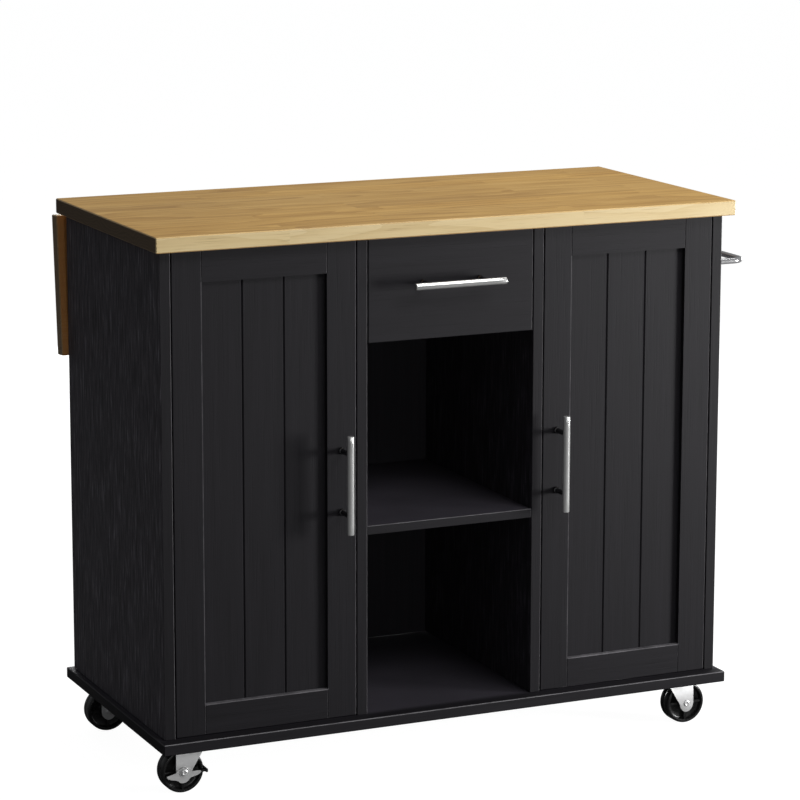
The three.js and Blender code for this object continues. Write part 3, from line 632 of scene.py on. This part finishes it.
# ------------------------------------------------------------------ bar handles
def bar_handle(node, body, axis):
    lo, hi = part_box(node)
    c = centre_of(node)
    r = 0.006
    yb = lo[1] + r                     # bar centre
    face = hi[1] - 0.0001              # just off the door's face
    k = {"X": 0, "Z": 2}[axis]
    half = (hi[k] - lo[k]) / 2
    pitch = 0.1016 / 2
    d = Vector((1, 0, 0)) if axis == "X" else Vector((0, 0, 1))
    mid = Vector((c.x, yb, c.z))
    bm = bmesh.new()
    e = 0.0011
    prof = [(0, -half), (r * 0.50, -half), (r - e, -half)]
    prof += [(r - e + e * math.sin(math.radians(a)), -half + e - e * math.cos(math.radians(a))) for a in (30, 60, 90)]
    n = 10
    prof += [(r, -half + e + (2 * half - 2 * e) * i / n) for i in range(1, n)]
    prof += [(r - e + e * math.cos(math.radians(a)), half - e + e * math.sin(math.radians(a))) for a in (0, 30, 60, 90)]
    prof += [(r * 0.50, half), (0, half)]
    add_lathe(bm, prof, mid, d, 56, 0)
    for s in (-1, 1):
        p = mid + d * (s * pitch)
        q = Vector((p.x, face, p.z))
        L = (q - p).length
        pr = 0.0042
        post = [(0, 0.0032), (pr, 0.0032), (pr, L - 0.0052)]
        post += [(pr + 0.0002, L - 0.0047), (pr + 0.0013, L - 0.0038), (pr + 0.0016, L - 0.0028), (pr + 0.0016, L - 0.0004), (pr + 0.0012, L)]
        post += [(0, L)]
        add_lathe(bm, post, p, (0, 1, 0), 40, 1)
    o = finish_mesh(node + "_fine", bm, [M_BARX if axis == "X" else M_BARZ, M_POST])
    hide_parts(node)
    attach(o, body)


bar_handle("left_door_handle", "left_door", "Z")
bar_handle("right_door_handle", "right_door", "Z")
bar_handle("drawer_handle", "drawer", "X")


# ------------------------------------------------------------------ towel rail
def towel_rail():
    lo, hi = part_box("towel_rail")
    r = 0.005
    z = (lo[2] + hi[2]) / 2
    x0 = lo[0]
    x1 = hi[0] - r
    y0 = lo[1] + 0.0115
    y1 = hi[1] - 0.0115
    R = 0.020
    path = [(x0 + 0.002, y0, z), (x1 - R, y0, z)]
    path += [(x1 - R + R * math.sin(math.radians(a)), y0 + R - R * math.cos(math.radians(a)), z) for a in range(6, 91, 6)]
    path += [(x1, y0 + R + (y1 - y0 - 2 * R) * i / 8, z) for i in range(1, 8)]
    path += [(x1 - R + R * math.cos(math.radians(a)), y1 - R + R * math.sin(math.radians(a)), z) for a in range(0, 91, 6)]
    path += [(x0 + 0.002, y1, z)]
    bm = bmesh.new()
    add_tube(bm, path, r, 40, 0)
    for y in (y0, y1):
        prof = [(0, 0), (0.0108, 0), (0.0115, 0.0006), (0.0115, 0.0020), (0.0111, 0.0029), (0.0098, 0.0037), (0.0078, 0.0042), (0.0064, 0.0047), (0.0052, 0.0062), (0.0050, 0.0068), (0, 0.0068)]
        add_lathe(bm, prof, (x0, y, z), (1, 0, 0), 48, 0)
    o = finish_mesh("towel_rail_fine", bm, [M_CHROME], angle=40)
    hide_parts("towel_rail")
    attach(o, "cabinet")


towel_rail()


# ------------------------------------------------------------------ casters
SW = {"front_left": -1, "front_right": 1, "rear_left": -1, "rear_right": 1}
BRAKED = ("front_left", "rear_right")


def caster(n, s):
    wl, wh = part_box(f"caster_wheel_{n}")
    ax = Vector(((wl[0] + wh[0]) / 2, (wl[1] + wh[1]) / 2, (wl[2] + wh[2]) / 2))   # wheel centre
    R = 0.036
    hw = 0.014
    # --- wheel: moulded, dished web with four ribs a side, rounded tread
    bm = bmesh.new()
    half = [(0.0043, 0.0146), (0.0118, 0.0146), (0.0126, 0.0141), (0.0131, 0.0128), (0.0138, 0.0068), (0.0150, 0.0060), (0.0275, 0.0060), (0.0290, 0.0066),
            (0.0298, 0.0080), (0.0302, 0.0128), (0.0307, 0.0138), (0.0315, 0.0140), (0.0330, 0.0140), (0.0340, 0.0137), (0.0350, 0.0129), (0.0356, 0.0117), (0.0359, 0.0100), (0.0360, 0.0060), (0.0360, 0.0010)]
    prof = [(r, -h) for r, h in half] + [(0.03585, -0.0007), (0.03585, 0.0007)] + [(r, h) for r, h in reversed(half)]
    add_lathe(bm, prof, ax, (0, 1, 0), 96, 0, close=True)
    for y in (-1, 1):
        for k in range(4):
            a = math.radians(90 * k)
            d = Vector((math.cos(a), 0, math.sin(a)))
            e = Vector((-math.sin(a), 0, math.cos(a)))
            outline = [(0.0128, 0.0022), (0.0150, 0.0017), (0.0285, 0.0014), (0.0303, 0.0020), (0.0303, -0.0020), (0.0285, -0.0014), (0.0150, -0.0017), (0.0128, -0.0022)]
            add_outline(bm, outline, lambda p, q, t, d=d, e=e, y=y: ax + d * p + e * q + Vector((0, y * t, 0)), 0.0055, 0.0122, 0.0004, 2, 0)
    w = finish_mesh(f"caster_wheel_{n}_fine", bm, [M_WHEEL], angle=32)
    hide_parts(f"caster_wheel_{n}")
    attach(w, f"wheel_{n}")
    # --- fork: pressed steel, two tapering legs, crown with raised race
    bm = bmesh.new()
    braked = n in BRAKED
    inn, out = 0.0152, 0.0174
    top = 0.0754 - ax.z
    leg = [(0.0130, top - 0.0012), (0.0130, 0.0)] + [(0.013 * math.cos(math.radians(a)), -0.0156 * math.sin(math.radians(a))) for a in range(12, 169, 12)]
    leg += [(-0.0130, 0.0), (-0.0352, top - 0.0040), (-0.0372, top - 0.0012)]
    for y in (-1, 1):
        add_outline(bm, leg, lambda p, q, t, y=y: ax + Vector((s * p, y * t, q)), inn, out, 0.0005, 2, 0)
    sw = Vector((ax.x - s * 0.024, ax.y, 0))
    # crown: stadium from the race to the axle side, rounded rim, hole left for the kingpin
    z0, z1 = 0.0732, 0.0754
    outer = []
    for a in range(90, 271, 10):
        outer.append((-0.024 + 0.0203 * math.cos(math.radians(a)), 0.0203 * math.sin(math.radians(a))))
    outer += [(-0.010, -0.0180), (0.000, -0.0174), (0.0122, -0.0174), (0.0130, -0.0166), (0.0130, 0.0166), (0.0122, 0.0174), (0.000, 0.0174), (-0.010, 0.0180)]
    hole = [(-0.024 + 0.0047 * math.cos(math.radians(a)), 0.0047 * math.sin(math.radians(a))) for a in range(0, 360, 15)]
    add_holed(bm, outer, hole, lambda p, q, t: Vector((ax.x + s * p, ax.y + q, t)), z0, z1, 0)
    # axle with rivet heads
    end = 0.0222 if braked else 0.0192
    head = 0.0204 if braked else 0.0173
    for y in (-1, 1):
        pr = [(0.0, head + 0.0004), (0.0019, head + 0.0004), (0.0023, head + 0.0010), (0.0027, end - 0.0002), (0.0033, end), (0.0043, end - 0.0003), (0.0053, end - 0.0010), (0.0058, head + 0.0005), (0.0058, head), (0.0, head)]
        add_lathe(bm, pr, ax, (0, y, 0), 36, 0)
    add_lathe(bm, [(0, -head), (0.0040, -head), (0.0040, head), (0, head)], ax, (0, 1, 0), 32, 0)
    # embossed ring round the race on the crown
    add_lathe(bm, [(0.0148, -0.0006), (0.0150, 0.0), (0.0156, 0.00025), (0.0168, 0.00025), (0.0174, 0.0), (0.0176, -0.0006)], sw + Vector((0, 0, z1 - 0.00005)), (0, 0, 1), 48, 0, close=True)
    f = finish_mesh(f"caster_fork_{n}_fine", bm, [M_ZINC2], angle=30)
    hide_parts(f"caster_fork_{n}")
    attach(f, f"fork_{n}")
    # --- top plate with race, kingpin and four fixing screws
    bm = bmesh.new()
    pl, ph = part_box(f"caster_plate_{n}")
    zt, zb = ph[2], 0.0786
    c = Vector((sw.x, sw.y, 0))
    sq = []
    for cx, cy, a0 in ((0.027, 0.027, 0), (-0.027, 0.027, 90), (-0.027, -0.027, 180), (0.027, -0.027, 270)):
        sq += arc(cx, cy, 0.005, a0, a0 + 90, 5)
    add_outline(bm, sq, lambda p, q, t: c + Vector((p, q, t)), zb, zt, 0.0004, 2, 0)
    race = [(0, 0.0707), (0.0055, 0.0707), (0.0066, 0.0710), (0.0070, 0.0716), (0.0070, 0.0722), (0.0064, 0.0727), (0.0042, 0.0729), (0.0042, 0.0757),
            (0.0150, 0.0757), (0.0196, 0.0758), (0.0207, 0.0761), (0.0212, 0.0768), (0.0214, 0.0780), (0.0214, 0.0788), (0, 0.0788)]
    add_lathe(bm, race, c, (0, 0, 1), 56, 0)
    for px in (-0.025, 0.025):
        for py in (-0.025, 0.025):
            screw(bm, c + Vector((px, py, zb)), (0, 0, -1), 0.0046, 0.0022, 1)
    p = finish_mesh(f"caster_plate_{n}_fine", bm, [M_ZINC, M_SCREW], angle=30)
    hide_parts(f"caster_plate_{n}")
    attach(p, "cabinet")
    # --- brake lever
    if braked:
        bm = bmesh.new()
        wing = [(-14, 0), (-12, 3), (-9.6, 5.0), (-6, 6.6), (-3, 7.5), (0, 7.8), (3, 7.5), (6, 6.6), (9.6, 5.0), (12, 3), (14, 0.4), (19, -1.1), (25.6, -2.6), (28.9, -3.2), (29.7, -4.1),
                (29.0, -6.0), (26.9, -8.1), (23.7, -9.6), (19.5, -10.7), (16, -11.4), (12.8, -12.2), (10.4, -13.4), (8.2, -15.6), (5.5, -17.3), (1.7, -17.8), (-2.0, -17.2), (-5, -15.9), (-7.4, -13.9), (-8.8, -12),
                (-11.4, -9.6), (-16.5, -8.2), (-21.5, -7.4), (-25.4, -6.0), (-28.4, -3.4), (-29.3, -1.5), (-28.6, -0.2), (-25.0, 0.5), (-18.4, 0.6)]
        hole = [(4.6 * math.cos(math.radians(a)), 4.6 * math.sin(math.radians(a))) for a in range(0, 360, 20)]
        arm = [(-23.5, -3.6), (-30.0, -3.6), (-35.6, -2.9), (-39.6, -2.4), (-40.8, -1.2), (-40.6, 0.3), (-39.0, 0.9), (-34.0, 0.7), (-28.0, 0.0), (-23.5, -0.6)]
        for y in (-1, 1):
            add_holed(bm, [(a * MM, b * MM) for a, b in wing], [(a * MM, b * MM) for a, b in hole],
                      lambda p, q, t, y=y: ax + Vector((s * p, y * t, q)), 0.0180, 0.0193, 0)
            # raised boss round the rivet, and the pad's arm on the wing's inner side
            add_lathe(bm, [(0.0062, 0.0188), (0.0066, 0.0198), (0.0084, 0.0198), (0.0092, 0.0188)], ax, (0, y, 0), 40, 0, close=True)
            add_outline(bm, [(a * MM, b * MM) for a, b in arm], lambda p, q, t, y=y: ax + Vector((s * p, y * t, q)), 0.0176, 0.0189, 0.0003, 2, 1)
        bx0, bx1 = sorted((ax.x - s * 0.0372, ax.x - s * 0.0411))
        add_box(bm, (bx0, ax.y - 0.0199, ax.z - 0.0045), (bx1, ax.y + 0.0199, ax.z + 0.0012), 0.0009, 3, 1)
        for k in (-1, 0, 1):
            add_box(bm, (min(bx0, bx1) + 0.0004, ax.y + k * 0.0060 - 0.0011, ax.z + 0.0006), (max(bx0, bx1) - 0.0004, ax.y + k * 0.0060 + 0.0011, ax.z + 0.0019), 0.0003, 2, 1)
        o = finish_mesh(f"brake_lever_{n}_fine", bm, [M_ZINC2, M_TAB], angle=30)
        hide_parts(f"brake_lever_{n}")
        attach(o, f"brake_{n}")


def add_holed(bm, outer, hole, to3d, t0, t1, mat):
    """flat plate with one hole, between t0 and t1"""
    sub = bmesh.new()
    a = [sub.verts.new((p[0], p[1], 0)) for p in outer]
    b = [sub.verts.new((p[0], p[1], 0)) for p in hole]
    for loop in (a, b):
        for i in range(len(loop)):
            sub.edges.new((loop[i], loop[(i + 1) % len(loop)]))
    bmesh.ops.triangle_fill(sub, edges=sub.edges[:], use_beauty=True)
    sub.verts.ensure_lookup_table()
    tris = [[v.index for v in f.verts] for f in sub.faces]
    sub.verts.index_update()
    tris = [[v.index for v in f.verts] for f in sub.faces]
    pts = [(v.co.x, v.co.y) for v in sub.verts]
    na, nb = len(outer), len(hole)
    sub.free()
    lo = [bm.verts.new(to3d(x, y, t0)) for x, y in pts]
    hi = [bm.verts.new(to3d(x, y, t1)) for x, y in pts]
    fs = []
    for t in tris:
        fs.append(bm.faces.new([lo[i] for i in t]))
        fs.append(bm.faces.new([hi[i] for i in reversed(t)]))
    for start, n in ((0, na), (na, nb)):
        for i in range(n):
            j = start + (i + 1) % n
            i = start + i
            fs.append(bm.faces.new((lo[i], lo[j], hi[j], hi[i])))
    for f in fs:
        f.material_index = mat


for n, s in SW.items():
    caster(n, s)


# ------------------------------------------------------------------ fixings
def fixings():
    groups = {}

    def at(body, p, axis, r, h, m):
        groups.setdefault(body, []).append((p, axis, r, h, m))

    for s, sx in (("left", -1), ("right", 1)):
        for w in ("lower", "upper"):
            lo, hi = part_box(f"{s}_hinge_arm_{w}")
            inner = lo[0] if sx > 0 else hi[0]
            wall = hi[0] if sx > 0 else lo[0]
            zc = (lo[2] + hi[2]) / 2
            y1 = hi[1]
            for dz in (-0.0165, 0.0165):
                at("cabinet", (wall - sx * 0.0022, y1 - 0.020, zc + dz), (-sx, 0, 0), 0.0037, 0.0016, 1)
            for dy in (0.022, 0.050):
                at("cabinet", (inner, y1 - dy, zc), (-sx, 0, 0), 0.0030, 0.0007, 1)
            cl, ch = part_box(f"{s}_hinge_cup_{w}")
            cc = centre_of(f"{s}_hinge_cup_{w}")
            for dz in (-0.0228, 0.0228):
                at(f"{s}_door", (cc.x, ch[1], cc.z + dz), (0, 1, 0), 0.0031, 0.0012, 1)
        # leaf hinge screws: fixed leaf faces down, moving leaf faces the cabinet
        lo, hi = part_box(f"leaf_hinge_fixed_{s}")
        zc = hi[2] - 0.0015
        for dx in (-0.024, 0.0, 0.024):
            at("cabinet", ((lo[0] + hi[0]) / 2 + dx, lo[1] + 0.010, zc), (0, 0, -1), 0.0034, 0.0012, 1)
        # drawer runner screws on the partition side, seen with the drawer out
        lo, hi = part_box(f"drawer_runner_{s}")
        face = (hi[0] - 0.0012) if sx > 0 else (lo[0] + 0.0012)
        for y in (lo[1] + 0.035, lo[1] + 0.150, lo[1] + 0.300):
            at("cabinet", (face, y, (lo[2] + hi[2]) / 2), (-sx, 0, 0), 0.0034, 0.0011, 1)
    # screws round the back panel and into the worktop's cleats
    lo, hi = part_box("back_panel")
    y = hi[1]
    xs = [lo[0] + 0.014 + (hi[0] - lo[0] - 0.028) * i / 6 for i in range(7)]
    zs = [lo[2] + 0.014 + (hi[2] - lo[2] - 0.028) * i / 5 for i in range(6)]
    for x in xs:
        for z in (zs[0], zs[-1]):
            at("cabinet", (x, y, z), (0, 1, 0), 0.0034, 0.0011, 2)
    for z in zs[1:-1]:
        for x in (xs[0], xs[-1]):
            at("cabinet", (x, y, z), (0, 1, 0), 0.0034, 0.0011, 2)
    lm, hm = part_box("left_partition")
    rm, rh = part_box("right_partition")
    for z in zs[1:-1]:
        for x in ((lm[0] + hm[0]) / 2, (rm[0] + rh[0]) / 2):
            at("cabinet", (x, y, z), (0, 1, 0), 0.0034, 0.0011, 2)
    for body, items in groups.items():
        bm = bmesh.new()
        for p, axis, r, h, m in items:
            screw(bm, p, axis, r, h, 0 if m == 1 else 1)
        o = finish_mesh(f"screws_{body}", bm, [M_SCREW, M_BLACKSCREW], angle=40)
        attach(o, body)


fixings()


# ------------------------------------------------------------------ floor, light, camera
def stage():
    me = bpy.data.meshes.new("floor")
    S = 60.0
    me.from_pydata([(-S, -S, 0), (S, -S, 0), (S, S, 0), (-S, S, 0)], [], [(0, 1, 2, 3)])
    o = bpy.data.objects.new("floor", me)
    bpy.context.scene.collection.objects.link(o)
    m = bpy.data.materials.new("pale_floor")
    m.use_nodes = True
    t = m.node_tree
    t.nodes.clear()
    out = t.nodes.new("ShaderNodeOutputMaterial")
    lp = t.nodes.new("ShaderNodeLightPath")
    em = t.nodes.new("ShaderNodeEmission")
    em.inputs["Color"].default_value = (1, 1, 1, 1)
    em.inputs["Strength"].default_value = 0.965
    d1 = t.nodes.new("ShaderNodeBsdfDiffuse")
    d1.inputs["Color"].default_value = (0.22, 0.22, 0.22, 1)
    add = t.nodes.new("ShaderNodeAddShader")
    d2 = t.nodes.new("ShaderNodeBsdfDiffuse")
    d2.inputs["Color"].default_value = (0.16, 0.16, 0.16, 1)
    mx = t.nodes.new("ShaderNodeMixShader")
    t.links.new(em.outputs[0], add.inputs[0])
    t.links.new(d1.outputs[0], add.inputs[1])
    t.links.new(lp.outputs["Is Camera Ray"], mx.inputs[0])
    t.links.new(d2.outputs[0], mx.inputs[1])
    t.links.new(add.outputs[0], mx.inputs[2])
    t.links.new(mx.outputs[0], out.inputs[0])
    me.materials.append(m)

    w = bpy.data.worlds.new("studio")
    bpy.context.scene.world = w
    w.use_nodes = True
    t = w.node_tree
    t.nodes.clear()
    out = t.nodes.new("ShaderNodeOutputWorld")
    lp = t.nodes.new("ShaderNodeLightPath")
    a = t.nodes.new("ShaderNodeBackground")
    a.inputs["Color"].default_value = (0.95, 0.97, 1.0, 1)
    a.inputs["Strength"].default_value = 0.15
    b = t.nodes.new("ShaderNodeBackground")
    b.inputs["Color"].default_value = (1, 1, 1, 1)
    b.inputs["Strength"].default_value = 1.0
    mx = t.nodes.new("ShaderNodeMixShader")
    t.links.new(lp.outputs["Is Camera Ray"], mx.inputs[0])
    t.links.new(a.outputs[0], mx.inputs[1])
    t.links.new(b.outputs[0], mx.inputs[2])
    t.links.new(mx.outputs[0], out.inputs[0])


def lamp(name, at, to, size, power, colour=(1, 1, 1)):
    l = bpy.data.lights.new(name, "AREA")
    l.shape = "RECTANGLE"
    l.size, l.size_y = size
    l.energy = power
    l.color = colour
    o = bpy.data.objects.new(name, l)
    bpy.context.scene.collection.objects.link(o)
    o.location = at
    o.rotation_mode = "QUATERNION"
    o.rotation_quaternion = (Vector(to) - Vector(at)).to_track_quat("-Z", "Y")
    return o


stage()
lamp("key_right", (2.5, -1.85, 0.66), (0.1, -0.2, 0.32), (0.8, 0.8), 80)
lamp("front_fill", (-0.85, -4.4, 1.0), (0, 0, 0.45), (1.2, 1.4), 13)
lamp("front_top", (0.9, -2.3, 2.75), (0, 0, 0.6), (1.6, 1.0), 38)
lamp("overhead", (0.8, 0.5, 3.1), (0.2, 0, 0.8), (1.8, 1.4), 44)
lamp("rim_right", (3.3, 2.2, 0.48), (0.3, 0, 0.46), (1.4, 0.7), 38)
lamp("back_fill", (0.7, 3.6, 0.42), (0, 0.2, 0.45), (2.2, 0.7), 52)

cam = bpy.data.cameras.new("camera")
cam_o = bpy.data.objects.new("camera", cam)
bpy.context.scene.collection.objects.link(cam_o)
cam.sensor_width = 36.0
CAM = dict(at=(-2.1971, -4.7768, 1.6461), yaw=23.99, pitch=10.72, f=3159.0, shift=(0.035, -0.06))
cam.lens = CAM["f"] * 36.0 / 800.0
cam.shift_x, cam.shift_y = CAM["shift"]
cam.clip_start, cam.clip_end = 0.05, 200
yaw, pitch = math.radians(CAM["yaw"]), math.radians(CAM["pitch"])
fwd = Vector((math.sin(yaw) * math.cos(pitch), math.cos(yaw) * math.cos(pitch), -math.sin(pitch)))
cam_o.location = CAM["at"]
cam_o.rotation_mode = "QUATERNION"
cam_o.rotation_quaternion = fwd.to_track_quat("-Z", "Y")
bpy.context.scene.camera = cam_o
bpy.context.scene.view_settings.view_transform = "Standard"
bpy.context.scene.view_settings.look = "None"
